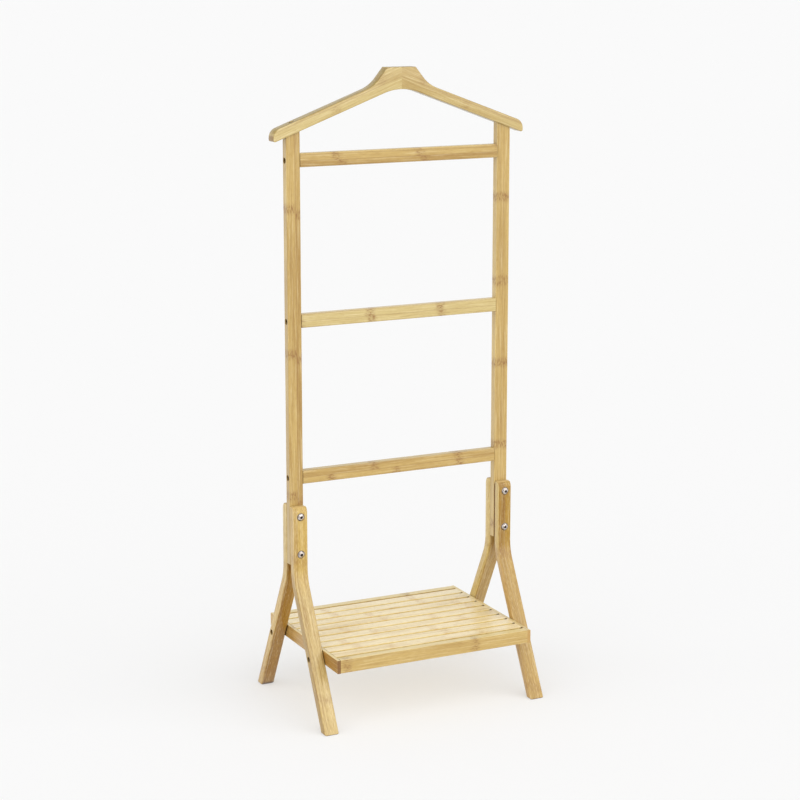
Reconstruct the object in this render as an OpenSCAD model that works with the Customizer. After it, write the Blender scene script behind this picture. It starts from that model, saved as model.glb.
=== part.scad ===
// Free-standing bamboo valet stand: hanger yoke, two posts, three trouser rails,
// four bent legs and a slatted shoe shelf. Millimetres, +Z up, front at -Y.
// The origin is on the floor at the centre of the footprint.

/* [Posts] */
// Distance between the outer faces of the two posts
frame_w = 416; // [380:2:440]
// Width of a post, leg or foot, seen from the front
post_w = 25; // [22:1:30]
// Depth of a post and of the trouser rails, front to back
post_d = 15; // [14:1:20]
// Height of the lower end of the posts above the floor
post_foot_z = 258; // [250:1:262]
// Radius of the eased long edges of posts, rails and legs
edge_r = 2; // [1:0.5:3]

/* [Rails] */
// Height of a trouser rail's section
rail_h = 23; // [20:1:28]
// Height of the top face of the top rail above the floor
rail_top_z = 952; // [920:1:960]
// Distance from one rail down to the next
rail_step = 266.5; // [230:0.5:270]

/* [Hanger] */
// Overall width of the hanger
hanger_w = 462; // [450:1:500]
// Depth of the hanger, front to back
hanger_d = 22; // [20:1:30]
// Height of the flat top of the hanger above the floor
hanger_top_z = 1087; // [1084:1:1100]
// Half the width of the flat top
hanger_top_hw = 26; // [20:1:30]
// Slope of the arms, in degrees
arm_slope = 20.4; // [18:0.2:23]
// Thickness of an arm, square to its slope
arm_t = 17.8; // [16:0.2:22]
// Slope of the flanks under the flat top, in degrees
flank_slope = 51; // [45:1:56]
// Radius of the hollow curve between a flank and its arm
flank_r = 60; // [40:5:70]
// Radius of the arch under the middle of the hanger
arch_r = 90; // [60:5:110]
// Radius of the corners at the ends of the flat top
hanger_top_r = 2; // [1:0.5:4]
// Radius of the upper corner at a tip
tip_top_r = 17; // [4:1:17]
// Radius of the lower corner at a tip
tip_low_r = 3; // [1:0.5:3]

/* [Legs] */
// Overall depth of the stand at the floor
foot_depth = 296; // [280:2:310]
// Thickness of a leg
leg_t = 17; // [14:1:20]
// Height of the top of the legs above the floor
leg_top_z = 360; // [356:1:380]
// How far the lower part of a leg leans out, in degrees
leg_lean = 27.5; // [26:0.5:29]
// Radius of the bend on its outer, hollow side
bend_r = 75; // [50:5:100]
// Radius of the curve that takes a leg's outer face in at the top
leg_top_r = 12.5; // [11:0.5:20]
// Height of that curve
leg_top_h = 10; // [4:1:10]

/* [Shelf] */
// Depth of the shelf, front to back
shelf_depth = 285; // [270:1:290]
// Height of the shelf's top face above the floor
shelf_z = 126; // [120:1:132]
// Height of the shelf's side boards and of its front and rear rails
shelf_h = 23; // [20:1:26]
// Thickness of a side board
side_t = 6; // [5:0.5:8]
// Number of slats
slat_n = 9; // [9]
// Distance from one slat to the next
slat_pitch = 27.9; // [27:0.1:28]
// Width of the gap between two slats
slat_gap = 5.4; // [4:0.2:8]
// Thickness of a slat
slat_t = 6; // [5:0.5:7]

/* [Fasteners] */
// Height of the upper leg bolts above the floor
bolt_z = 344; // [335:1:346]
// Distance from the upper leg bolts down to the lower ones
bolt_step = 65; // [50:1:66]
// Diameter of the domed heads of the leg bolts and leg nuts
dome_d = 13.5; // [10:0.5:14]
// Height of the domed heads
dome_h = 3.2; // [2.5:0.1:4]
// Diameter of the counterbores for the rail screws and shelf bolts
counterbore_d = 10; // [9:0.5:12]
// Depth of the counterbores
counterbore_h = 7; // [5:0.5:9]
// Height of the shelf bolts above the floor
shelf_bolt_z = 112.5; // [111:0.5:112.5]

/* [Hidden] */
$fn = 64;

bamboo = [0.83, 0.70, 0.45];
bamboo_pale = [0.89, 0.80, 0.58];
bamboo_warm = [0.79, 0.64, 0.38];
nickel = [0.76, 0.77, 0.78];

outer_x = frame_w / 2;
inner_x = outer_x - post_w;
mid_x = outer_x - post_w / 2;
rail_zs = [for (k = [0:2]) rail_top_z - rail_h / 2 - k * rail_step];
bolt_zs = [bolt_z, bolt_z - bolt_step];

// Hanger outline, in X and Z, right half
arm_drop = tan(arm_slope);
arm_v = arm_t / cos(arm_slope);
arm_top0 = 1075.6;
arm_low0 = arm_top0 - arm_v;
tip_x = hanger_w / 2;
flank_x = (hanger_top_z - arm_top0 + hanger_top_hw * tan(flank_slope))
        / (tan(flank_slope) - arm_drop);
top_corner = [hanger_top_hw, hanger_top_z];
flank_foot = [flank_x, arm_top0 - flank_x * arm_drop];
tip_top = [tip_x, arm_top0 - tip_x * arm_drop];
tip_low = [tip_x, arm_low0 - tip_x * arm_drop];
tip_low_left = [-tip_x, tip_low[1]];
low_mid = [0, arm_low0];
arch_foot = arc_touch(low_mid, tip_low, tip_low_left, arch_r);

// Legs, in Y and Z, rear leg
leg_out_y = post_d / 2 + leg_t;
foot_y = foot_depth / 2;
foot_len = leg_t / cos(leg_lean);
leg_top_in = [post_d / 2, leg_top_z];
leg_top_in_by = leg_top_r - sqrt(pow(leg_top_r, 2) - pow(leg_top_h, 2));
leg_top_out = [leg_out_y, leg_top_z];
foot_out = [foot_y, 0];
foot_in = [foot_y - foot_len, 0];
bend_out = [leg_out_y, (foot_y - leg_out_y) / tan(leg_lean)];
bend_in = [post_d / 2, (foot_y - foot_len - post_d / 2) / tan(leg_lean)];

// Shelf
slat_w = slat_pitch - slat_gap;
side_in_x = inner_x - side_t;
shelf_rail_in_y = (slat_n * slat_pitch + slat_gap) / 2;
shelf_rail_t = shelf_depth / 2 - shelf_rail_in_y;
shelf_mid_z = shelf_z - shelf_h / 2;
tenon = 3;
tenon_gap = 0.1;
rail_tenon_h = 14;
slat_tenon_t = 4;
shelf_edge_r = 1;
shelf_bolt_y = foot_y - foot_len / 2 - shelf_bolt_z * tan(leg_lean);

// Fasteners
m6_r = 2.95;
m6_bore_r = 3;
m6_clear_r = 3.3;
sleeve_r = 4;
sleeve_len = 14;
hex_af = 4;
dome_r = (pow(dome_d / 2, 2) + pow(dome_h, 2)) / 2 / dome_h;
screw_r = 2;
pilot_r = 2.05;
screw_clear_r = 2.4;
screw_len = 45;
screw_head_d = 8;
screw_head_h = 3;
cap_head_d = 9;
cap_head_h = 4;
hanger_screw_len = 50;
hanger_head_d = 8.4;
hanger_sink = 4;
shelf_nut_d = 12;
shelf_nut_t = 3;

function unit(v) = v / norm(v);

// Half the angle of the corner at v between the sides towards p and q
function half_angle(v, p, q) = acos(unit(p - v) * unit(q - v)) / 2;

// Centre of the arc of radius r that touches both sides of that corner
function arc_centre(v, p, q, r) =
    v + unit(unit(p - v) + unit(q - v)) * r / sin(half_angle(v, p, q));

// Point where that arc touches the side towards p
function arc_touch(v, p, q, r) = v + unit(p - v) * r / tan(half_angle(v, p, q));

// ---- shared shapes ----

// Rectangle with rounded corners, centred
module eased(w, d, r) {
    square([w - 2 * r, d], center = true);
    square([w, d - 2 * r], center = true);
    for (sx = [-1, 1], sy = [-1, 1])
        translate([sx * (w / 2 - r), sy * (d / 2 - r)])
            circle(r);
}

// Bar along X with eased long edges, centred on the origin
module bar_x(len, d, h, r) {
    rotate([90, 0, 90])
        linear_extrude(len, center = true)
            eased(d, h, r);
}

// Round cut that hollows out the corner at v between the sides towards p and q
module hollow_cut(v, p, q, r) {
    translate(arc_centre(v, p, q, r))
        circle(r, $fn = 180);
}

// What is cut off to round the corner at v between the sides towards p and q
module round_cut(v, p, q, r) {
    c = arc_centre(v, p, q, r);
    t1 = arc_touch(v, p, q, r);
    t2 = arc_touch(v, q, p, r);
    difference() {
        polygon([t1, t1 + unit(t1 - c), v - 2 * unit(c - v), t2 + unit(t2 - c), t2]);
        translate(c)
            circle(r, $fn = 180);
    }
}

// Cylinder along +X from the origin
module rod_x(r, len) {
    rotate([0, 90, 0])
        cylinder(r = r, h = len);
}

// Cylinder along +Y from the origin
module rod_y(r, len) {
    rotate([-90, 0, 0])
        cylinder(r = r, h = len);
}

// Hexagonal socket, opening along +Z at the origin
module hex_socket(af, depth) {
    translate([0, 0, -depth])
        cylinder(d = af / cos(30), h = depth + 1, $fn = 6);
}

// Shallow dome, flat side down on z = 0
module dome() {
    intersection() {
        translate([0, 0, dome_h - dome_r])
            sphere(dome_r, $fn = 96);
        cylinder(d = dome_d, h = dome_h + 1);
    }
}

// ---- hanger ----

// Right half of the hanger's outline, in X and Z
module arm_outline() {
    difference() {
        polygon([[0, hanger_top_z], top_corner,
                 arc_touch(flank_foot, top_corner, tip_top, flank_r),
                 arc_touch(flank_foot, tip_top, top_corner, flank_r),
                 tip_top, tip_low, arch_foot, [0, arch_foot[1]]]);
        hollow_cut(flank_foot, top_corner, tip_top, flank_r);
        hollow_cut(low_mid, tip_low_left, tip_low, arch_r);
        round_cut(top_corner, [0, hanger_top_z], flank_foot, hanger_top_r);
        round_cut(tip_top, flank_foot, tip_low, tip_top_r);
        round_cut(tip_low, tip_top, low_mid, tip_low_r);
    }
}

module hanger_arm() {
    difference() {
        rotate([90, 0, 0])
            linear_extrude(hanger_d, center = true)
                arm_outline();
        translate([mid_x, 0, arm_low0 - tip_x * arm_drop])
            cylinder(r = screw_clear_r, h = 100);
        translate([mid_x, 0, arm_top0 - mid_x * arm_drop - hanger_sink])
            cylinder(d = hanger_head_d + 0.4, h = 20);
    }
}

module hanger_screw() {
    z = arm_top0 - mid_x * arm_drop - hanger_sink;
    translate([mid_x, 0, z])
        difference() {
            union() {
                cylinder(d = hanger_head_d, h = 2);
                translate([0, 0, -hanger_screw_len])
                    cylinder(r = screw_r, h = hanger_screw_len + 1);
            }
            translate([0, 0, 2])
                hex_socket(hex_af, 1.2);
        }
}

module hanger_left() {
    color(bamboo_pale)
        mirror([1, 0, 0])
            hanger_arm();
}

module hanger_right() {
    color(bamboo_pale)
        hanger_arm();
}

module hanger_screws() {
    color(nickel) {
        hanger_screw();
        mirror([1, 0, 0])
            hanger_screw();
    }
}

// ---- posts and rails ----

// Right-hand post
module post() {
    difference() {
        translate([mid_x, 0, post_foot_z])
            linear_extrude(arm_low0 - inner_x * arm_drop - post_foot_z + 5)
                eased(post_w, post_d, edge_r);
        // sloping end under the hanger
        translate([0, -post_d, arm_low0])
            rotate([0, arm_slope, 0])
                cube([2 * tip_x, 2 * post_d, 60]);
        for (z = rail_zs) {
            translate([inner_x - 1, 0, z])
                rod_x(screw_clear_r, post_w + 2);
            translate([outer_x - counterbore_h, 0, z])
                rod_x(counterbore_d / 2, counterbore_h + 1);
        }
        for (z = bolt_zs)
            translate([mid_x, -post_d, z])
                rod_y(m6_clear_r, 2 * post_d);
        translate([mid_x, 0, arm_low0 - mid_x * arm_drop - 40])
            cylinder(r = pilot_r, h = 60);
    }
}

module post_left() {
    color(bamboo)
        mirror([1, 0, 0])
            post();
}

module post_right() {
    color(bamboo)
        post();
}

module rail(k) {
    bore = screw_len - post_w + counterbore_h + 2;
    translate([0, 0, rail_zs[k]])
        difference() {
            bar_x(2 * inner_x, post_d, rail_h, edge_r);
            for (s = [0, 1])
                mirror([s, 0, 0])
                    translate([inner_x - bore, 0, 0])
                        rod_x(pilot_r, bore + 1);
        }
}

module rail_top() {
    color(bamboo)
        rail(0);
}

module rail_middle() {
    color(bamboo_pale)
        rail(1);
}

module rail_lower() {
    color(bamboo)
        rail(2);
}

// Pan-head wood screw along -X, the underside of its head at the origin
module wood_screw() {
    difference() {
        union() {
            rod_x(screw_head_d / 2, screw_head_h);
            translate([-screw_len, 0, 0])
                rod_x(screw_r, screw_len + 1);
        }
        translate([screw_head_h, 0, 0])
            rotate([0, 90, 0])
                hex_socket(hex_af, 1.8);
    }
}

module rail_screws() {
    color(nickel)
        for (s = [0, 1], z = rail_zs)
            mirror([s, 0, 0])
                translate([outer_x - counterbore_h, 0, z])
                    wood_screw();
}

// ---- legs ----

// Side outline of a rear leg, in Y and Z: upright top, bend and slanting lower part
module leg_outline() {
    difference() {
        polygon([leg_top_in, leg_top_out,
                 arc_touch(bend_out, leg_top_out, foot_out, bend_r),
                 arc_touch(bend_out, foot_out, leg_top_out, bend_r),
                 foot_out, foot_in, bend_in]);
        hollow_cut(bend_out, leg_top_out, foot_out, bend_r);
        round_cut(bend_in, leg_top_in, foot_in, bend_r + leg_t);
        // the outer face curves in towards the top
        difference() {
            translate([leg_out_y - leg_top_in_by, leg_top_z - leg_top_h])
                square([leg_top_in_by + 1, leg_top_h + 1]);
            translate([leg_out_y - leg_top_r, leg_top_z - leg_top_h])
                circle(leg_top_r, $fn = 180);
        }
    }
}

module leg_common() {
    difference() {
        translate([inner_x, 0, 0])
            rotate([90, 0, 90])
                linear_extrude(post_w)
                    leg_outline();
        for (z = bolt_zs)
            translate([mid_x, 0, z])
                rod_y(m6_clear_r, 2 * leg_out_y);
        translate([inner_x - 1, shelf_bolt_y, shelf_bolt_z])
            rod_x(m6_clear_r, post_w + 2);
        translate([outer_x - counterbore_h, shelf_bolt_y, shelf_bolt_z])
            rod_x(counterbore_d / 2, counterbore_h + 1);
    }
}

// The rear legs also take the barrels of the sleeve nuts
module rear_leg() {
    difference() {
        leg_common();
        for (z = bolt_zs)
            translate([mid_x, leg_out_y - sleeve_len - 0.5, z])
                rod_y(sleeve_r + 0.1, sleeve_len + 2);
    }
}

module leg_front_left() {
    color(bamboo_warm)
        mirror([1, 0, 0])
            mirror([0, 1, 0])
                leg_common();
}

module leg_front_right() {
    color(bamboo_warm)
        mirror([0, 1, 0])
            leg_common();
}

module leg_rear_left() {
    color(bamboo_warm)
        mirror([1, 0, 0])
            rear_leg();
}

module leg_rear_right() {
    color(bamboo_warm)
        rear_leg();
}

module leg_bolts() {
    color(nickel)
        for (sx = [-1, 1], z = bolt_zs)
            translate([sx * mid_x, -leg_out_y, z])
                difference() {
                    union() {
                        rotate([90, 0, 0])
                            dome();
                        translate([0, -0.5, 0])
                            rod_y(m6_r, 2 * leg_out_y - 3);
                    }
                    translate([0, -dome_h, 0])
                        rotate([90, 0, 0])
                            hex_socket(hex_af, 2.2);
                }
}

module leg_nuts() {
    color(nickel)
        for (sx = [-1, 1], z = bolt_zs)
            translate([sx * mid_x, leg_out_y, z])
                difference() {
                    union() {
                        rotate([-90, 0, 0])
                            dome();
                        translate([0, -sleeve_len, 0])
                            rod_y(sleeve_r, sleeve_len + 0.5);
                    }
                    translate([0, -sleeve_len - 1, 0])
                        rod_y(m6_bore_r, sleeve_len - 1);
                    translate([0, dome_h, 0])
                        rotate([-90, 0, 0])
                            hex_socket(hex_af, 2.2);
                }
}

// ---- shelf ----

// Tenon along X, centred on y and z, from the shoulder at x = 0 into the side board
module tenon_block(w, h, extra) {
    translate([-1, -w / 2 - extra, -h / 2 - extra])
        cube([tenon + 1 + extra, w + 2 * extra, h + 2 * extra]);
}

// Right-hand side board with sockets for the tenons and two bolt holes
module shelf_side() {
    difference() {
        translate([side_in_x + side_t / 2, 0, shelf_mid_z])
            rotate([90, 0, 0])
                linear_extrude(shelf_depth, center = true)
                    eased(side_t, shelf_h, shelf_edge_r);
        for (s = [-1, 1]) {
            translate([side_in_x, s * (shelf_rail_in_y + shelf_rail_t / 2), shelf_mid_z])
                tenon_block(shelf_rail_t - 6, rail_tenon_h, tenon_gap);
            translate([side_in_x - 1, s * shelf_bolt_y, shelf_bolt_z])
                rod_x(m6_clear_r, side_t + 2);
        }
        for (k = [1:slat_n])
            translate([side_in_x, slat_y(k), shelf_z - slat_t / 2])
                tenon_block(slat_w - 6, slat_tenon_t, tenon_gap);
    }
}

function slat_y(k) = (k - (slat_n + 1) / 2) * slat_pitch;

module shelf_side_left() {
    color(bamboo_warm)
        mirror([1, 0, 0])
            shelf_side();
}

module shelf_side_right() {
    color(bamboo_warm)
        shelf_side();
}

// s is -1 for the front rail, 1 for the rear one
module shelf_rail(s) {
    translate([0, s * (shelf_rail_in_y + shelf_rail_t / 2), shelf_mid_z]) {
        bar_x(2 * side_in_x, shelf_rail_t, shelf_h, shelf_edge_r);
        for (m = [0, 1])
            mirror([m, 0, 0])
                translate([side_in_x, 0, 0])
                    tenon_block(shelf_rail_t - 6, rail_tenon_h, 0);
    }
}

module shelf_rail_front() {
    color(bamboo)
        shelf_rail(-1);
}

module shelf_rail_rear() {
    color(bamboo)
        shelf_rail(1);
}

module slat(k) {
    color(bamboo_pale)
        translate([0, slat_y(k), shelf_z - slat_t / 2]) {
            bar_x(2 * side_in_x, slat_w, slat_t, shelf_edge_r);
            for (m = [0, 1])
                mirror([m, 0, 0])
                    translate([side_in_x, 0, 0])
                        tenon_block(slat_w - 6, slat_tenon_t, 0);
        }
}

module slat_1() slat(1);
module slat_2() slat(2);
module slat_3() slat(3);
module slat_4() slat(4);
module slat_5() slat(5);
module slat_6() slat(6);
module slat_7() slat(7);
module slat_8() slat(8);
module slat_9() slat(9);

module shelf_bolts() {
    shank = post_w - counterbore_h + side_t + shelf_nut_t - 0.5;
    color(nickel)
        for (m = [0, 1], sy = [-1, 1])
            mirror([m, 0, 0])
                translate([outer_x - counterbore_h, sy * shelf_bolt_y, shelf_bolt_z])
                    difference() {
                        union() {
                            rod_x(cap_head_d / 2, cap_head_h);
                            translate([-shank, 0, 0])
                                rod_x(m6_r, shank + 1);
                        }
                        translate([cap_head_h, 0, 0])
                            rotate([0, 90, 0])
                                hex_socket(hex_af, 2.5);
                    }
}

module shelf_nuts() {
    color(nickel)
        for (m = [0, 1], sy = [-1, 1])
            mirror([m, 0, 0])
                translate([side_in_x - shelf_nut_t, sy * shelf_bolt_y, shelf_bolt_z])
                    difference() {
                        rod_x(shelf_nut_d / 2, shelf_nut_t);
                        translate([-1, 0, 0])
                            rod_x(m6_bore_r, shelf_nut_t + 2);
                    }
}

hanger_left();
hanger_right();
hanger_screws();
post_left();
post_right();
rail_top();
rail_middle();
rail_lower();
rail_screws();
leg_front_left();
leg_rear_left();
leg_front_right();
leg_rear_right();
leg_bolts();
leg_nuts();
shelf_side_left();
shelf_side_right();
shelf_rail_front();
shelf_rail_rear();
slat_1();
slat_2();
slat_3();
slat_4();
slat_5();
slat_6();
slat_7();
slat_8();
slat_9();
shelf_bolts();
shelf_nuts();
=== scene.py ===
"""Bamboo valet stand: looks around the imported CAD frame. Metres, front at -Y."""

import math

import bmesh
import bpy
from mathutils import Matrix, Vector


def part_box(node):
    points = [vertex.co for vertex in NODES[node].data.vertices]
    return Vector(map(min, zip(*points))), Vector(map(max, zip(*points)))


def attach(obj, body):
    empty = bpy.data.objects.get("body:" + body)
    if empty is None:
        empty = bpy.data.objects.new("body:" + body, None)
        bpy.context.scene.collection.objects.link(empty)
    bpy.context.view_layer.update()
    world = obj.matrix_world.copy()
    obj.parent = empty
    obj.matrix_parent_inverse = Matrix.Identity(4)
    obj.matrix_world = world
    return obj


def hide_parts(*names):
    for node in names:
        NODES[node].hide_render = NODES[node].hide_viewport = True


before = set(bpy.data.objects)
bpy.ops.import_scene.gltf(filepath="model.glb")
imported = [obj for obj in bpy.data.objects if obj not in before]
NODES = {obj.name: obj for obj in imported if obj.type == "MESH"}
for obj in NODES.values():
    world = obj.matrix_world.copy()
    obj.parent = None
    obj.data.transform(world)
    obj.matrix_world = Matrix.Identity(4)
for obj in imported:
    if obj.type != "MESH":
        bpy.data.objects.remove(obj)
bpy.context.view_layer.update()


# ---------------------------------------------------------------- camera

YAW, PITCH = math.radians(26.19), math.radians(11.461)
SENSOR, LENS = 36.0, 94.8375  # millimetres
CAMERA_AT = Vector((-1.5531, -3.1617, 1.2916))


def make_camera():
    """Camera in front and to the left, a little above the middle, that looks slightly down."""
    data = bpy.data.cameras.new("camera")
    data.sensor_width = SENSOR
    data.lens = LENS
    data.shift_y = -0.04
    data.clip_end = 2000.0
    cam = bpy.data.objects.new("camera", data)
    bpy.context.scene.collection.objects.link(cam)
    cam.location = CAMERA_AT
    cam.rotation_euler = (math.pi / 2 - PITCH, 0.0, -YAW)
    bpy.context.scene.camera = cam


# ---------------------------------------------------------------- stage

def srgb(r, g, b):
    """A colour given as 0-255 screen values, as the linear values a shader takes."""
    def one(c):
        c = c / 255.0
        return c / 12.92 if c <= 0.04045 else ((c + 0.055) / 1.055) ** 2.4
    return (one(r), one(g), one(b), 1.0)


def sun(name, azimuth, elevation, strength, spread):
    """A very large soft light: azimuth 0 is in front, 90 to the right.

    strength is how bright it makes a white wall that faces it.
    """
    data = bpy.data.lights.new(name, "SUN")
    data.energy = strength * math.pi
    data.angle = math.radians(spread)
    lamp = bpy.data.objects.new(name, data)
    bpy.context.scene.collection.objects.link(lamp)
    turn, up = math.radians(azimuth), math.radians(elevation)
    towards = Vector((math.sin(turn) * math.cos(up), -math.cos(turn) * math.cos(up), math.sin(up)))
    lamp.location = towards * 3.0
    lamp.rotation_euler = towards.to_track_quat("Z", "Y").to_euler()


def make_world(horizon, zenith):
    """A soft white surround that is darker overhead."""
    world = bpy.data.worlds.new("studio")
    world.use_nodes = True
    nt = world.node_tree
    at = nt.nodes.new("ShaderNodeTexCoord")
    parts = nt.nodes.new("ShaderNodeSeparateXYZ")
    ramp = nt.nodes.new("ShaderNodeMapRange")
    nt.links.new(at.outputs["Generated"], parts.inputs[0])
    nt.links.new(parts.outputs["Z"], ramp.inputs[0])
    for socket, value in zip(list(ramp.inputs)[1:5], (0.1, 0.85, horizon, zenith)):
        socket.default_value = value
    sky = nt.nodes["Background"]
    sky.inputs["Color"].default_value = (1, 1, 1, 1)
    nt.links.new(ramp.outputs[0], sky.inputs["Strength"])
    bpy.context.scene.world = world


def make_floor(grey, glow):
    """Pale paper that also glows a little, so that shadows on it stay faint."""
    size = 600.0
    mesh = bpy.data.meshes.new("floor")
    corners = [(-size, -size, 0), (size, -size, 0), (size, size, 0), (-size, size, 0)]
    mesh.from_pydata(corners, [], [(0, 1, 2, 3)])
    floor = bpy.data.objects.new("floor", mesh)
    bpy.context.scene.collection.objects.link(floor)
    mat = bpy.data.materials.new("floor_paper")
    mat.use_nodes = True
    bsdf = mat.node_tree.nodes["Principled BSDF"]
    bsdf.inputs["Base Color"].default_value = (grey, grey, grey, 1)
    bsdf.inputs["Roughness"].default_value = 0.95
    bsdf.inputs["Specular IOR Level"].default_value = 0.0
    bsdf.inputs["Emission Color"].default_value = (1, 1, 1, 1)
    bsdf.inputs["Emission Strength"].default_value = glow
    mesh.materials.append(mat)


def make_stage():
    """Pale floor and surround, with a key light from the front right and a fill from the left."""
    scene = bpy.context.scene
    scene.view_settings.view_transform = "Standard"
    scene.view_settings.look = "None"
    make_world(0.96, 0.42)
    make_floor(0.48, 0.44)
    sun("key", 25, 36, 0.52, 80)
    sun("fill", -75, 30, 0.40, 80)


# ---------------------------------------------------------------- shader tree helper

class Tree:
    """A material's node tree, with short calls that return output sockets."""

    def __init__(self, name):
        self.mat = bpy.data.materials.new(name)
        self.mat.use_nodes = True
        self.nt = self.mat.node_tree
        self.bsdf = self.nt.nodes["Principled BSDF"]

    def put(self, socket, value):
        if isinstance(value, bpy.types.NodeSocket):
            self.nt.links.new(value, socket)
        else:
            socket.default_value = value

    def node(self, kind, inputs=(), **props):
        n = self.nt.nodes.new(kind)
        for key, value in props.items():
            setattr(n, key, value)
        for key, value in dict(inputs).items():
            self.put(n.inputs[key], value)
        return n

    def math(self, op, *args):
        n = self.node("ShaderNodeMath", operation=op)
        for i, value in enumerate(args):
            self.put(n.inputs[i], value)
        return n.outputs[0]

    def combine(self, x, y, z):
        return self.node("ShaderNodeCombineXYZ", {0: x, 1: y, 2: z}).outputs[0]

    def split(self, vector):
        return self.node("ShaderNodeSeparateXYZ", {0: vector}).outputs

    def noise(self, vector, scale=1.0, detail=2.0, rough=0.5):
        n = self.node("ShaderNodeTexNoise",
                      {"Vector": vector, "Scale": scale, "Detail": detail, "Roughness": rough})
        return n.outputs["Fac"]

    def stretched(self, uvw, along, across, seed, detail=2.0, rough=0.5):
        """Noise with features about 1/along metres long and 1/across metres wide."""
        u, v, w = uvw
        at = self.combine(self.math("MULTIPLY", u, along),
                          self.math("ADD", self.math("MULTIPLY", v, across), seed),
                          self.math("MULTIPLY", w, across))
        return self.noise(at, 1.0, detail, rough)

    def random(self, vector):
        n = self.node("ShaderNodeTexWhiteNoise", {"Vector": vector}, noise_dimensions="3D")
        return self.split(n.outputs["Color"])

    def step(self, value, low, high, out_low=0.0, out_high=1.0):
        """Smooth step from out_low to out_high as value goes from low to high."""
        n = self.node("ShaderNodeMapRange", {0: value, 1: low, 2: high, 3: out_low, 4: out_high})
        n.interpolation_type = "SMOOTHSTEP"
        return n.outputs[0]

    def open_sky(self, reach):
        """1 in the open, and less as things within reach close a point in, as in a hole."""
        return self.node("ShaderNodeAmbientOcclusion", {"Distance": reach}, samples=8).outputs["AO"]

    def mix(self, fac, a, b, blend="MIX"):
        n = self.node("ShaderNodeMix", data_type="RGBA", blend_type=blend)
        self.put(n.inputs[0], fac)
        self.put(n.inputs[6], a)
        self.put(n.inputs[7], b)
        return n.outputs[2]


# ---------------------------------------------------------------- bamboo

NODE_BROWN = srgb(140, 98, 44)
GLUE_BROWN = srgb(138, 98, 52)
END_BROWN = srgb(118, 80, 40)
FIBRE_SHADE = (0.70, 0.58, 0.42, 1.0)  # what a dark fibre leaves of the colour around it
WAX = srgb(246, 232, 190)
# colours of painted shade: in seams, and down holes and at the slats' gap ends
SEAM_PAINTED_SHADE = srgb(108, 66, 16)
HOLE_PAINTED_SHADE = srgb(58, 38, 16)
# strengths of the painted shade in seams: how dark, how open a place is where it is darkest, and where
# it ends
FAINT, MILD, DEEP = (0.13, 0.37, 0.62), (0.16, 0.37, 0.62), (0.85, 0.84, 0.985)  # seams


def object_grain(tree, order):
    """Along, across and depth from the object's own axes; order names them, such as 'zxy'.

    Also how far a face looks along the grain, and how far across it.
    """
    xyz = tree.split(tree.node("ShaderNodeTexCoord").outputs["Object"])
    normal = tree.split(tree.node("ShaderNodeNewGeometry").outputs["Normal"])
    u, v, w = ("xyz".index(letter) for letter in order)
    return (xyz[u], xyz[v], xyz[w]), tree.math("ABSOLUTE", normal[u]), tree.math("ABSOLUTE", normal[v])


def stored_grain(tree):
    """The same from the grain and its direction that a piece's own mesh stores."""
    uvw = tree.split(tree.node("ShaderNodeAttribute", attribute_name="grain").outputs["Vector"])
    normal = tree.node("ShaderNodeNewGeometry").outputs["Normal"]
    looks = []
    for name in ("grain_along", "grain_across"):
        axis = tree.node("ShaderNodeAttribute", attribute_name=name).outputs["Vector"]
        dot = tree.node("ShaderNodeVectorMath", {0: axis, 1: normal}, operation="DOT_PRODUCT")
        looks.append(tree.math("ABSOLUTE", dot.outputs["Value"]))
    return (uvw[0], uvw[1], uvw[2]), *looks


def strip_tone(t, uvw, shift, second, tones, contrast):
    """How dark a place is, 0 to 1: its strip's own tone, which drifts along and across."""
    base = t.math("ADD", tones[0], t.math("MULTIPLY", second, tones[1] - tones[0]))
    drift = t.stretched(uvw, 7.0, 130.0, shift, 2.0)
    broad = t.stretched(uvw, 3.0, 20.0, shift + 5.0, 1.0)
    tone = t.math("ADD", base, t.math("MULTIPLY", t.math("SUBTRACT", drift, 0.5), 1.1 * contrast))
    tone = t.math("ADD", tone, t.math("MULTIPLY", t.math("SUBTRACT", broad, 0.5), 0.7 * contrast))
    return t.step(tone, -0.1, 1.1)


def add_fibres(t, colour, uvw, shift, contrast, pores):
    """Colour with fibres, from long soft streaks to fine flecks; also the streaks and flecks."""
    streak = t.stretched(uvw, 14.0, 420.0, shift + 11.0, 3.0, 0.6)
    colour = t.mix(t.step(streak, 0.5, 0.78, 0.0, 0.45 * contrast), colour, FIBRE_SHADE, "MULTIPLY")
    colour = t.mix(t.step(streak, 0.28, 0.5, 0.16 * contrast, 0.0), colour, WAX)
    fleck = t.stretched(uvw, 80.0, 1500.0, shift + 17.0, 2.0)
    colour = t.mix(t.step(fleck, 0.56, 0.72, 0.0, 0.4 * contrast), colour, FIBRE_SHADE, "MULTIPLY")
    pore = t.stretched(uvw, 110.0, 820.0, shift + 19.0, 2.0)
    colour = t.mix(t.step(pore, 0.5, 0.66, 0.0, pores), colour, FIBRE_SHADE, "MULTIPLY")
    colour = t.mix(t.step(pore, 0.3, 0.46, pores * 0.4, 0.0), colour, WAX)
    return colour, streak, fleck


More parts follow.
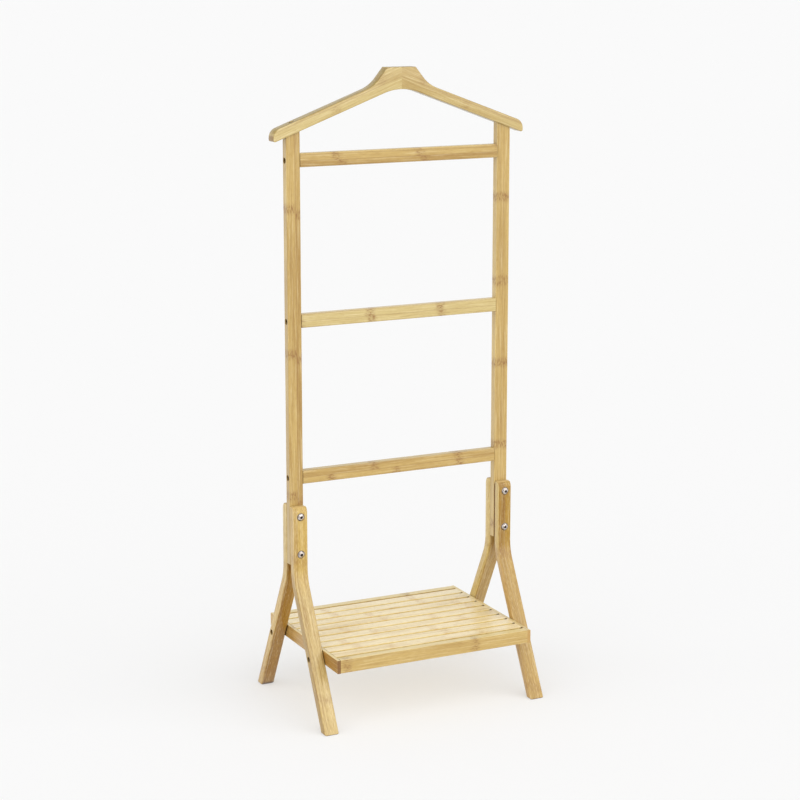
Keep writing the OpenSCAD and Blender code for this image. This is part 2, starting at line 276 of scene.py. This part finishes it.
def cane_joint(t, uvw, shift, index, second, nodes, gaps, depth):
    """How much a place belongs to a joint's band of short dark dashes, and to its thin line."""
    row = t.random(t.combine(index, shift, 3.7))
    place = t.math("ADD", nodes[0], t.math("MULTIPLY", second, nodes[1] - nodes[0]))
    place = t.math("ADD", place, t.math("MULTIPLY", t.math("SUBTRACT", row[1], 0.5), 0.006))
    spacing = t.math("ADD", gaps[0], t.math("MULTIPLY", second, gaps[1] - gaps[0]))
    place = t.math("DIVIDE", t.math("SUBTRACT", uvw[0], place), spacing)
    off = t.math("MULTIPLY", t.math("SUBTRACT", place, t.math("ROUND", place)), spacing)
    warp = t.stretched(uvw, 60.0, 240.0, shift + 23.0, 2.0)
    off = t.math("ADD", off, t.math("MULTIPLY", t.math("SUBTRACT", warp, 0.5), 0.010))
    zone = t.step(t.math("ABSOLUTE", off), 0.002, 0.0125, 1.0, 0.0)
    dash = t.step(t.stretched(uvw, 150.0, 560.0, shift + 31.0, 2.0), 0.46, 0.62)
    dash = t.math("ADD", t.math("MULTIPLY", dash, 0.7 * depth), 0.2 * depth)
    line = t.step(t.math("ABSOLUTE", t.math("ADD", off, 0.002)), 0.0, 0.0012, 0.35 * depth, 0.0)
    return t.math("MULTIPLY", zone, dash), line


def add_shade(t, colour, u, seams, seams_until):
    """Colour with painted shade in the seams and down the holes."""
    sky = t.open_sky(0.012)
    # painted shade in the seams, where nearby surfaces close a place in
    seam = t.step(sky, seams[1], seams[2], seams[0], 0.0)
    seam = t.math("MULTIPLY", seam, t.step(u, seams_until - 0.004, seams_until, 1.0, 0.0))
    colour = t.mix(seam, colour, SEAM_PAINTED_SHADE)
    # painted shade down the holes
    return t.mix(t.step(sky, 0.2, 0.45, 0.92, 0.0), colour, HOLE_PAINTED_SHADE)


def bamboo(name, seed, face_tones, edge_tones, grain="stored", strip=0.0125, strip_at=0.0,
           tones=(0.3, 0.3), nodes=(0.0, 0.1), gaps=(0.24, 0.24), node_depth=1.0, contrast=1.5,
           gloss=0.28, pores=0.15, seams=FAINT, seams_until=9.0, far=None, painted_end_shade=None,
           end_colour=END_BROWN, joint_colour=NODE_BROWN):
    """Laminated bamboo.

    grain names the object's axes along, across and through the grain, such as 'zxy', or is
    'stored' where the mesh stores its grain. face_tones and edge_tones are a light and a dark
    colour each, for the strips' broad faces and for their edges. Strips lie side by side, from
    strip_at on, each strip wide. For strips 0 and 1, tones gives the tone, 0 light to 1 dark,
    nodes the place of a cane joint, and gaps how far apart the joints are. node_depth is how dark
    the joints are. far is (face_tones, edge_tones, start, end): tones that take over along the
    grain between start and end. painted_end_shade is (start, end): a stretch along which the edges are
    painted dark, as shade. seams gives the painted shade in the seams: (how dark, how open a place
    is where it is at its darkest, and where it ends); None leaves out the painted shade in seams
    and holes. seams_until is how far along the grain the seams' shade goes. contrast is how strong
    the drift and the fibres are, pores how strong the fibre bundles' dashes are, and gloss the
    roughness where it shines most. end_colour is the end grain's.
    """
    t = Tree(name)
    uvw, look_along, look_across = stored_grain(t) if grain == "stored" else object_grain(t, grain)
    u, v, w = uvw
    end = t.step(look_along, 0.75, 0.92)
    edge = t.step(look_across, 0.45, 0.85)
    shift = seed * 7.31

    # strips, with slightly wavy sides
    wave = t.math("MULTIPLY", t.math("SUBTRACT", t.noise(t.combine(u, shift, 0.0), 11.0), 0.5), 0.0022)
    across = t.math("DIVIDE", t.math("SUBTRACT", t.math("ADD", v, wave), strip_at), strip)
    index = t.math("FLOOR", across)
    second = t.math("GREATER_THAN", index, 0.5)

    # tones of the broad faces and of the edges
    tone = strip_tone(t, uvw, shift, second, tones, contrast)
    face_colour, edge_colour = t.mix(tone, *face_tones), t.mix(tone, *edge_tones)
    if far:
        reach = t.step(u, far[2], far[3])
        face_colour = t.mix(reach, face_colour, t.mix(tone, *far[0]))
        edge_colour = t.mix(reach, edge_colour, t.mix(tone, *far[1]))
    if painted_end_shade:
        # painted shade: the edges turn dark along this stretch
        edge_colour = t.mix(t.step(u, *painted_end_shade), edge_colour, HOLE_PAINTED_SHADE)
    colour = t.mix(edge, face_colour, edge_colour)

    colour, streak, fleck = add_fibres(t, colour, uvw, shift, contrast, pores)
    band, line = cane_joint(t, uvw, shift, index, second, nodes, gaps, node_depth)
    colour = t.mix(t.math("MAXIMUM", band, line), colour, joint_colour)

    # glue lines between strips
    side = t.math("MULTIPLY", t.math("PINGPONG", across, 0.5), strip)
    glue = t.step(side, 0.0001, 0.0008, 0.38, 0.0)
    colour = t.mix(glue, colour, GLUE_BROWN)

    # end grain: fibre bundles as dots
    bundles = t.combine(t.math("MULTIPLY", u, 0.02), v, w)
    dots = t.node("ShaderNodeTexVoronoi", {"Vector": bundles, "Scale": 1300.0})
    dot = t.step(dots.outputs["Distance"], 0.15, 0.5, 0.95, 0.65)
    colour = t.mix(t.math("MULTIPLY", end, dot), colour, end_colour)

    # painted shade in the seams and down the holes
    if seams:
        colour = add_shade(t, colour, u, seams, seams_until)
    t.put(t.bsdf.inputs["Base Color"], colour)

    # satin lacquer over a surface that follows the fibres
    rough = t.math("ADD", t.step(streak, 0.3, 0.7, gloss, gloss + 0.1), t.math("MULTIPLY", end, 0.2))
    t.put(t.bsdf.inputs["Roughness"], rough)
    t.bsdf.inputs["Specular IOR Level"].default_value = 0.5
    t.bsdf.inputs["Coat Weight"].default_value = 0.35
    t.bsdf.inputs["Coat Roughness"].default_value = 0.2
    height = t.math("ADD", t.math("MULTIPLY", streak, 0.5), t.math("MULTIPLY", fleck, 0.25))
    height = t.math("SUBTRACT", height, t.math("MULTIPLY", glue, 0.6))
    height = t.math("ADD", height, t.math("MULTIPLY", band, 0.5))
    bump = t.node("ShaderNodeBump", {"Height": height, "Strength": 0.3, "Distance": 0.00025})
    t.put(t.bsdf.inputs["Normal"], bump.outputs["Normal"])
    return t.mat


# ---------------------------------------------------------------- metal

DOME_D = 0.0135
SOCKET_R = 0.0023


def nickel():
    """Nickel plate: painted reflection and shade darken the domes' rims, painted shade the sockets and
    holes.
    """
    t = Tree("nickel")
    at = t.node("ShaderNodeTexCoord").outputs["Object"]
    cloud = t.noise(at, 300.0, 3.0)
    scratch = t.noise(at, 2600.0, 2.0)
    colour = t.mix(t.step(cloud, 0.4, 0.6), srgb(214, 205, 198), srgb(146, 134, 124))

    # distance from the nearest leg bolt's axis
    low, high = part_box("leg_bolts")
    radius = DOME_D / 2
    x, _, z = t.split(at)
    span_x, span_z = (high.x - low.x) / 2 - radius, (high.z - low.z) / 2 - radius
    off_x = t.math("SUBTRACT", t.math("ABSOLUTE", x), span_x)
    off_z = t.math("SUBTRACT", t.math("ABSOLUTE", t.math("SUBTRACT", z, (low.z + high.z) / 2)), span_z)
    away = t.math("SQRT", t.math("ADD", t.math("POWER", off_x, 2.0), t.math("POWER", off_z, 2.0)))
    # painted dark reflection and shade at the domes' rims, and painted shade in the sockets
    rim = t.step(away, radius * 0.70, radius * 0.98, 0.0, 0.85)
    socket_shade = t.step(away, SOCKET_R * 0.85, SOCKET_R * 1.15, 0.8, 0.0)
    colour = t.mix(t.math("MAXIMUM", rim, socket_shade), colour, srgb(62, 50, 42))
    # painted shade down the holes and in other hollows
    colour = t.mix(t.step(t.open_sky(0.010), 0.2, 0.55, 1.0, 0.0), colour, srgb(30, 24, 18))

    t.put(t.bsdf.inputs["Base Color"], colour)
    t.bsdf.inputs["Metallic"].default_value = 1.0
    t.put(t.bsdf.inputs["Roughness"], t.step(scratch, 0.3, 0.7, 0.10, 0.20))
    bump = t.node("ShaderNodeBump", {"Height": scratch, "Strength": 0.1, "Distance": 0.00005})
    t.put(t.bsdf.inputs["Normal"], bump.outputs["Normal"])
    return t.mat


# ---------------------------------------------------------------- pieces with eased edges

def link_piece(name, bm, replaces):
    """Makes an object of a bmesh that stands in for a CAD node."""
    mesh = bpy.data.meshes.new(name)
    bmesh.ops.recalc_face_normals(bm, faces=bm.faces[:])
    bm.to_mesh(mesh)
    bm.free()
    piece = bpy.data.objects.new(name, mesh)
    bpy.context.scene.collection.objects.link(piece)
    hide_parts(replaces)
    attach(piece, "root")
    return piece


def drill(piece, start, end, radius):
    """Cuts a round hole from start to end."""
    bm = bmesh.new()
    bmesh.ops.create_cone(bm, cap_ends=True, segments=48, radius1=radius, radius2=radius,
                          depth=(end - start).length)
    turn = (end - start).to_track_quat("Z", "Y").to_matrix().to_4x4()
    bmesh.ops.transform(bm, matrix=Matrix.Translation((start + end) / 2) @ turn, verts=bm.verts)
    mesh = bpy.data.meshes.new("cutter")
    bm.to_mesh(mesh)
    bm.free()
    cutter = bpy.data.objects.new("cutter", mesh)
    bpy.context.scene.collection.objects.link(cutter)
    mod = piece.modifiers.new("drill", "BOOLEAN")
    mod.operation, mod.solver, mod.object = "DIFFERENCE", "EXACT", cutter
    bpy.context.view_layer.update()
    dg = bpy.context.evaluated_depsgraph_get()
    done = bpy.data.meshes.new_from_object(piece.evaluated_get(dg))
    piece.modifiers.clear()
    old = piece.data
    piece.data = done
    done.name = old.name
    bpy.data.meshes.remove(old)
    bpy.data.objects.remove(cutter)


def smooth(piece, angle=math.radians(35)):
    """Smooth shading, with the sharp edges kept."""
    mesh = piece.data
    for p in mesh.polygons:
        p.use_smooth = True
    bm = bmesh.new()
    bm.from_mesh(mesh)
    for e in bm.edges:
        e.smooth = len(e.link_faces) == 2 and e.calc_face_angle(0.0) < angle
    bm.to_mesh(mesh)
    bm.free()


def store_grain(piece, where):
    """Stores where(point): along, across and depth, and the directions along and across the grain."""
    mesh = piece.data
    names = ("grain", "grain_along", "grain_across")
    layers = [mesh.attributes.new(name, "FLOAT_VECTOR", "POINT") for name in names]
    for i, vert in enumerate(mesh.vertices):
        for layer, value in zip(layers, where(vert.co)):
            layer.data[i].vector = value


# ---------------------------------------------------------------- legs

LEAN = math.radians(27.5)
BEND_R = 0.075
LEG_T = 0.017
LEG_EASE = 0.0022
GROOVE_EASE = 0.005  # rounding of a leg's edge where its inner side meets the post
TOP_R, TOP_H = 0.0125, 0.010  # rounding of a leg's top, and how far down it reaches
RIM_EASE = 0.0012
COUNTERBORE_R, COUNTERBORE_H = 0.005, 0.007


class LegShape:
    """A bent leg's centre line and section, from its CAD box; side is 1 at the rear, -1 in front."""

    def __init__(self, node):
        low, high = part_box(node)
        self.side = 1.0 if low.y + high.y > 0 else -1.0
        self.x0, self.x1 = low.x, high.x
        self.top = high.z
        self.near = min(abs(low.y), abs(high.y))
        self.foot = max(abs(low.y), abs(high.y))
        out = self.near + LEG_T
        self.bend_z = (self.foot - out) / math.tan(LEAN) + BEND_R * math.tan(LEAN / 2)
        self.mid = self.near + LEG_T / 2
        self.turn_y = out + BEND_R
        self.radius = BEND_R + LEG_T / 2

    def on_bend(self, a):
        """Point and direction on the centre line where the bend has turned by angle a."""
        point = Vector((self.turn_y, self.bend_z)) - self.radius * Vector((math.cos(a), math.sin(a)))
        return point, Vector((math.sin(a), -math.cos(a)))

    def at(self, s):
        """Point and direction on the centre line, s metres down from the top."""
        straight = self.top - self.bend_z
        arc = self.radius * LEAN
        if s <= straight:
            return Vector((self.mid, self.top - s)), Vector((0.0, -1.0))
        if s <= straight + arc:
            return self.on_bend((s - straight) / self.radius)
        end, d = self.on_bend(LEAN)
        return end + d * (s - straight - arc), d

    def grain(self, co):
        """Along, across and depth of a point, and the directions along and across the grain."""
        y, z = abs(co.y), co.z
        straight = self.top - self.bend_z
        arc = self.radius * LEAN
        a = math.atan2(self.bend_z - z, self.turn_y - y)
        if z >= self.bend_z:
            s, n, d = self.top - z, y - self.mid, Vector((0.0, -1.0))
        elif 0.0 <= a <= LEAN and y < self.turn_y:
            _, d = self.on_bend(a)
            s = straight + a * self.radius
            n = self.radius - math.hypot(self.bend_z - z, self.turn_y - y)
        else:
            end, d = self.on_bend(LEAN)
            rel = Vector((y, z)) - end
            s = straight + arc + rel.dot(d)
            n = rel.dot(Vector((-d.y, d.x)))
        mid_x = (self.x0 + self.x1) / 2
        return (s, co.x - mid_x, n), (0.0, self.side * d.x, d.y), (1.0, 0.0, 0.0)


def leg_section(half_x, n_low, n_high, inner, corner=5):
    """Rounded rectangle in x and n; inner is the sign of x on the stand's inner side."""
    pts = []
    for sx, sn, start in ((1, 1, 0), (-1, 1, 90), (-1, -1, 180), (1, -1, 270)):
        r = GROOVE_EASE if sn < 0 and sx == inner else LEG_EASE
        cx, cn = sx * (half_x - r), n_high - r if sn > 0 else n_low + r
        for k in range(corner + 1):
            a = math.radians(start + 90 * k / corner)
            pts.append((cx + r * math.cos(a), cn + r * math.sin(a)))
    return pts


def leg_steps(shape):
    """Places of the section's rings along a leg, each with how far its sides are eased in."""
    straight = shape.top - shape.bend_z
    arc = shape.radius * LEAN
    total = straight + arc + shape.at(straight + arc)[0].y / math.cos(LEAN)
    quarter = [math.pi / 2 * k / 4 for k in range(5)]
    steps = [(RIM_EASE * (1 - math.cos(a)), RIM_EASE * (1 - math.sin(a))) for a in quarter]
    steps += [(RIM_EASE + (TOP_H - RIM_EASE) * k / 8, 0.0) for k in range(1, 9)]
    steps += [(s, 0.0) for s in (0.03, 0.06, 0.09)]
    steps += [(straight + arc * k / 14, 0.0) for k in range(15)]
    span = total - straight - arc
    steps += [(straight + arc + span * k / 6, 0.0) for k in range(1, 6)]
    steps += [(total - RIM_EASE * math.cos(a) / math.cos(LEAN), RIM_EASE * (1 - math.cos(a)))
              for a in quarter]
    return steps, total


def make_leg(node, material):
    """A leg swept along its centre line, with eased edges and a rounded top."""
    shape = LegShape(node)
    half_t = LEG_T / 2
    steps, total = leg_steps(shape)
    half_x = (shape.x1 - shape.x0) / 2
    mid_x = (shape.x1 + shape.x0) / 2
    inner = -1 if mid_x > 0 else 1
    bm = bmesh.new()
    rings = []
    for s, inset in steps:
        point, d = shape.at(s)
        out = Vector((-d.y, d.x))  # away from the post
        n_high = half_t
        if s < TOP_H:
            n_high -= TOP_R - math.sqrt(TOP_R ** 2 - (TOP_H - s) ** 2)
        level = total - s < 2 * RIM_EASE
        ring = []
        for x, n in leg_section(half_x - inset, -half_t + inset, n_high - inset, inner):
            yz = point + out * n
            if level:  # the foot's rings are cut level
                yz = yz + d * ((yz.y - point.y) / math.cos(LEAN))
            ring.append(bm.verts.new((mid_x + x, shape.side * yz.x, yz.y)))
        rings.append(ring)
    for a, b in zip(rings, rings[1:]):
        for k in range(len(a)):
            m = (k + 1) % len(a)
            bm.faces.new((a[k], a[m], b[m], b[k]))
    bm.faces.new(rings[0])
    bm.faces.new(rings[-1][::-1])
    piece = link_piece(node + "_eased", bm, node)
    drill_shelf_bolt(piece, shape)
    smooth(piece)
    store_grain(piece, shape.grain)
    piece.data.materials.append(material)


def drill_shelf_bolt(piece, shape):
    """The counterbore for the shelf bolt, in the leg's outer face."""
    low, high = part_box("shelf_bolts")
    z = (low.z + high.z) / 2
    y = (high.y - low.y - (high.z - low.z)) / 2
    outer = shape.x1 if shape.x1 > 0 else shape.x0
    sign = 1.0 if outer > 0 else -1.0
    at = Vector((outer, shape.side * y, z))
    inwards = Vector((-sign * COUNTERBORE_H, 0, 0))
    drill(piece, at + inwards, at - inwards, COUNTERBORE_R)


# ---------------------------------------------------------------- hanger

ARM_SLOPE = math.radians(20.4)
ARM_TOP0, ARM_T = 1.0756, 0.0178  # the arm's top line carried on to the centre, and its thickness
FLANK_SLOPE = math.radians(51)
CROWN_HALF = 0.026
CROWN_R, NECK_R, TIP_R, TIP_LOW_R, ARCH_R = 0.002, 0.060, 0.017, 0.003, 0.090
HANGER_EASE = 0.0012
SCREW_HEAD_R, SCREW_HOLE_R = 0.0042, 0.0044


def corner_arc(v, p, q, r, steps):
    """Points of the arc of radius r that touches the sides of the corner at v towards p and q."""
    v, p, q = Vector(v), Vector(p), Vector(q)
    a, b = (p - v).normalized(), (q - v).normalized()
    half = a.angle(b) / 2
    centre = v + (a + b).normalized() * r / math.sin(half)
    start, end = v + a * r / math.tan(half) - centre, v + b * r / math.tan(half) - centre
    turn = math.atan2(start.x * end.y - start.y * end.x, start.dot(end))
    return [centre + Matrix.Rotation(turn * k / steps, 2) @ start for k in range(steps + 1)]


def arm_outline():
    """Right arm's outline from the front, from the centre of the crown round to the arch."""
    low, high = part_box("hanger_right")
    tip, top = high.x, high.z
    drop = math.tan(ARM_SLOPE)
    low0 = ARM_TOP0 - ARM_T / math.cos(ARM_SLOPE)
    fall = math.tan(FLANK_SLOPE)
    flank = (top - ARM_TOP0 + CROWN_HALF * fall) / (fall - drop)
    start = (0.0, top)
    shoulder = (CROWN_HALF, top)
    foot = (flank, ARM_TOP0 - flank * drop)
    tip_top = (tip, ARM_TOP0 - tip * drop)
    tip_low = (tip, low0 - tip * drop)
    peak = (0.0, low0)
    points = [Vector(start)]
    points += corner_arc(shoulder, start, foot, CROWN_R, 5)
    points += corner_arc(foot, shoulder, tip_top, NECK_R, 16)
    points += corner_arc(tip_top, foot, tip_low, TIP_R, 12)
    points += corner_arc(tip_low, tip_top, peak, TIP_LOW_R, 6)
    arch = corner_arc(peak, tip_low, (-tip_low[0], tip_low[1]), ARCH_R, 24)
    points += arch[:len(arch) // 2 + 1]
    return points


def make_arm(node, material):
    """Half of the hanger, with eased edges and the hole for its screw."""
    low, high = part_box(node)
    sign = 1.0 if high.x > 0.1 else -1.0
    bm = bmesh.new()
    verts = [bm.verts.new((sign * p.x, low.y, p.y)) for p in arm_outline()]
    face = bm.faces.new(verts)
    out = bmesh.ops.extrude_face_region(bm, geom=[face])
    moved = [g for g in out["geom"] if isinstance(g, bmesh.types.BMVert)]
    bmesh.ops.translate(bm, verts=moved, vec=(0, high.y - low.y, 0))
    bmesh.ops.recalc_face_normals(bm, faces=bm.faces[:])
    # the two outlines, apart from their edges where the arms are glued together
    rim = [e for e in bm.edges
           if abs(e.verts[0].co.y - e.verts[1].co.y) < 1e-6
           and not all(abs(v.co.x) < 1e-6 for v in e.verts)]
    bmesh.ops.bevel(bm, geom=rim, offset=HANGER_EASE, segments=3, profile=0.5, affect="EDGES")
    piece = link_piece(node + "_eased", bm, node)
    s_low, s_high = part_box("hanger_screws")
    x = sign * ((s_high.x - s_low.x) / 2 - SCREW_HEAD_R)
    head = s_high.z - 0.002  # just below the screws' tops
    drill(piece, Vector((x, 0, head)), Vector((x, 0, head + 0.03)), SCREW_HOLE_R)
    smooth(piece)

    def where(co):
        x, z = abs(co.x), co.z - ARM_TOP0
        along = x * math.cos(ARM_SLOPE) - z * math.sin(ARM_SLOPE)
        across = x * math.sin(ARM_SLOPE) + z * math.cos(ARM_SLOPE)
        return ((along, across, co.y), (sign * math.cos(ARM_SLOPE), 0.0, -math.sin(ARM_SLOPE)),
                (sign * math.sin(ARM_SLOPE), 0.0, math.cos(ARM_SLOPE)))

    store_grain(piece, where)
    piece.data.materials.append(material)


# ---------------------------------------------------------------- build

# palettes: a light and a dark tone each
CREAM = (srgb(247, 231, 190), srgb(225, 200, 142))
CREAM_GAP = (srgb(224, 202, 134), srgb(214, 187, 117))
CREAM_TOP = (srgb(228, 208, 150), srgb(208, 184, 122))
PALE = (srgb(196, 175, 115), srgb(178, 151, 90))
PALE_EDGE = (srgb(166, 142, 60), srgb(144, 119, 46))
TAN = (srgb(190, 160, 92), srgb(163, 128, 62))
TAN_EDGE = (srgb(204, 180, 116), srgb(184, 158, 98))
LIT_EDGE = (srgb(221, 198, 131), srgb(200, 175, 112))
GOLD = (srgb(194, 162, 80), srgb(169, 132, 58))
GOLD_EDGE = (srgb(207, 176, 104), srgb(184, 151, 84))
HONEY = (srgb(168, 129, 26), srgb(144, 103, 16))
# paler: painted sheen on the front right leg's slanted lower faces
HONEY_PAINTED_SHEEN = (srgb(181, 147, 71), srgb(158, 123, 54))
HONEY_EDGE = (srgb(211, 187, 118), srgb(190, 163, 98))
AMBER_EDGE = (srgb(200, 163, 92), srgb(178, 140, 72))
UMBER = (srgb(160, 116, 20), srgb(142, 98, 14))
OCHRE = (srgb(179, 145, 72), srgb(156, 120, 54))
# paler: painted sheen on the front left leg's slanted lower faces
SAND_PAINTED_SHEEN = (srgb(199, 174, 112), srgb(176, 147, 87))
SAND_EDGE = (srgb(182, 151, 72), srgb(156, 122, 52))
BROWN = (srgb(192, 155, 84), srgb(166, 128, 60))
BROWN_LOW = (srgb(157, 109, 26), srgb(130, 87, 18))

# tone and place of a cane joint of each slat, front to rear
SLATS = ((0.42, 0.100), (0.35, -0.120), (0.20, 0.035), (0.22, -0.065), (0.18, -0.105),
         (0.22, -0.020), (0.42, -0.028), (0.10, 0.080), (-0.15, -0.090))


def dress(node, material):
    """Gives a CAD node its material."""
    mesh = NODES[node].data
    mesh.materials.clear()
    mesh.materials.append(material)


def dress_metal():
    metal = nickel()
    for node in ("leg_bolts", "leg_nuts", "rail_screws", "hanger_screws", "shelf_bolts", "shelf_nuts"):
        dress(node, metal)


def dress_frame():
    """Materials of the posts and the trouser rails."""
    dress("post_left", bamboo("bamboo_post_left", 1, TAN, TAN_EDGE, grain="zxy", strip=0.0155,
                              strip_at=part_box("post_left")[0].x, tones=(0.35, 0.65),
                              nodes=(0.862, 0.849), gaps=(0.242, 0.242)))
    # below the legs' tops the right post gets deep painted shade in its seams, which darkens the groove
    # beside its legs
    dress("post_right", bamboo("bamboo_post_right", 2, TAN, LIT_EDGE, grain="zxy", strip=0.0130,
                               strip_at=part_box("post_right")[0].x, tones=(0.25, 0.1),
                               nodes=(0.862, 0.862), gaps=(0.145, 0.145),
                               seams=DEEP, seams_until=0.357))
    rails = {"rail_top": (0.0100, (0.75, 0.2), (0.045, 0.034), (0.153, 0.153), TAN),
             "rail_middle": (0.0110, (0.1, 0.0), (-0.055, -0.055), (0.132, 0.132), PALE),
             "rail_lower": (0.0110, (0.4, 0.55), (-0.008, -0.050), (0.123, 0.162), TAN)}
    for k, (node, (strip, tones, nodes, gaps, face)) in enumerate(rails.items()):
        dress(node, bamboo("bamboo_" + node, 5 + k, face, TAN_EDGE, grain="xzy", strip=strip,
                           strip_at=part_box(node)[0].z, tones=tones, nodes=nodes, gaps=gaps))


def dress_shelf():
    """Materials of the side boards, the front and rear rail, and the slats."""
    ends = {"shelf_side_left": srgb(104, 66, 18), "shelf_side_right": srgb(192, 154, 88)}
    for k, (node, end_colour) in enumerate(ends.items()):
        dress(node, bamboo("bamboo_" + node, 10 + k, BROWN, CREAM_TOP, grain="yzx", strip=0.024,
                           strip_at=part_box(node)[0].z, tones=(0.3, 0.3), nodes=(0.05, 0.05),
                           node_depth=0.6, end_colour=end_colour,
                           far=(BROWN_LOW, CREAM_TOP, 0.14, -0.16)))
    for k, node in enumerate(("shelf_rail_front", "shelf_rail_rear")):
        dress(node, bamboo("bamboo_" + node, 12 + k, TAN, CREAM_TOP, grain="xzy", strip=0.024,
                           strip_at=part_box(node)[0].z, tones=(0.1, 0.1), nodes=(0.078, 0.078),
                           node_depth=0.8, seams=MILD))
    for k, (tone, joint) in enumerate(SLATS, 1):
        node = f"slat_{k}"
        # the slats' edges get painted shade at the right ends of the gaps
        dress(node, bamboo("bamboo_" + node, 20 + k, CREAM, CREAM_GAP, grain="xyz", strip=0.1,
                           strip_at=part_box(node)[0].y - 0.03, tones=(tone, tone), nodes=(joint, joint),
                           gaps=(0.17, 0.17), node_depth=0.6, contrast=2.2, gloss=0.25,
                           seams=None, painted_end_shade=(0.171, 0.177), joint_colour=srgb(196, 152, 72)))


def make_legs():
    # from the bend down the far tones take over: on the front legs their paler faces are a painted sheen
    # on the slanted faces; the sides get other tones there too
    legs = {"leg_front_left": (GOLD, GOLD_EDGE, SAND_PAINTED_SHEEN, SAND_EDGE, 0.092, -0.0265, 1.9),
            "leg_rear_left": (UMBER, HONEY_EDGE, UMBER, GOLD_EDGE, 0.110, -0.0265, 1.9),
            "leg_front_right": (HONEY, HONEY_EDGE, HONEY_PAINTED_SHEEN, AMBER_EDGE, 0.129, -0.0195, 1.3),
            "leg_rear_right": (OCHRE, HONEY_EDGE, OCHRE, HONEY_EDGE, 0.120, -0.0195, 1.9)}
    for k, (node, look) in enumerate(legs.items()):
        face, edge, far_face, far_edge, joint, strip_at, contrast = look
        material = bamboo("bamboo_" + node, 40 + k, face, edge, strip=0.0195, strip_at=strip_at,
                          tones=(0.6, 0.2), nodes=(joint, joint + 0.004), node_depth=0.5,
                          contrast=contrast, pores=0.45, seams=MILD,
                          end_colour=srgb(216, 186, 126), far=(far_face, far_edge, 0.09, 0.17))
        make_leg(node, material)


def make_hanger():
    for k, node in enumerate(("hanger_left", "hanger_right")):
        make_arm(node, bamboo("bamboo_" + node, 50 + k, PALE, PALE_EDGE, strip=0.022,
                              strip_at=-0.026, tones=(0.1 + 0.55 * k, 0.3 + 0.45 * k),
                              nodes=(0.13, 0.04), node_depth=0.5))


make_camera()
make_stage()
dress_metal()
dress_frame()
dress_shelf()
make_legs()
make_hanger()
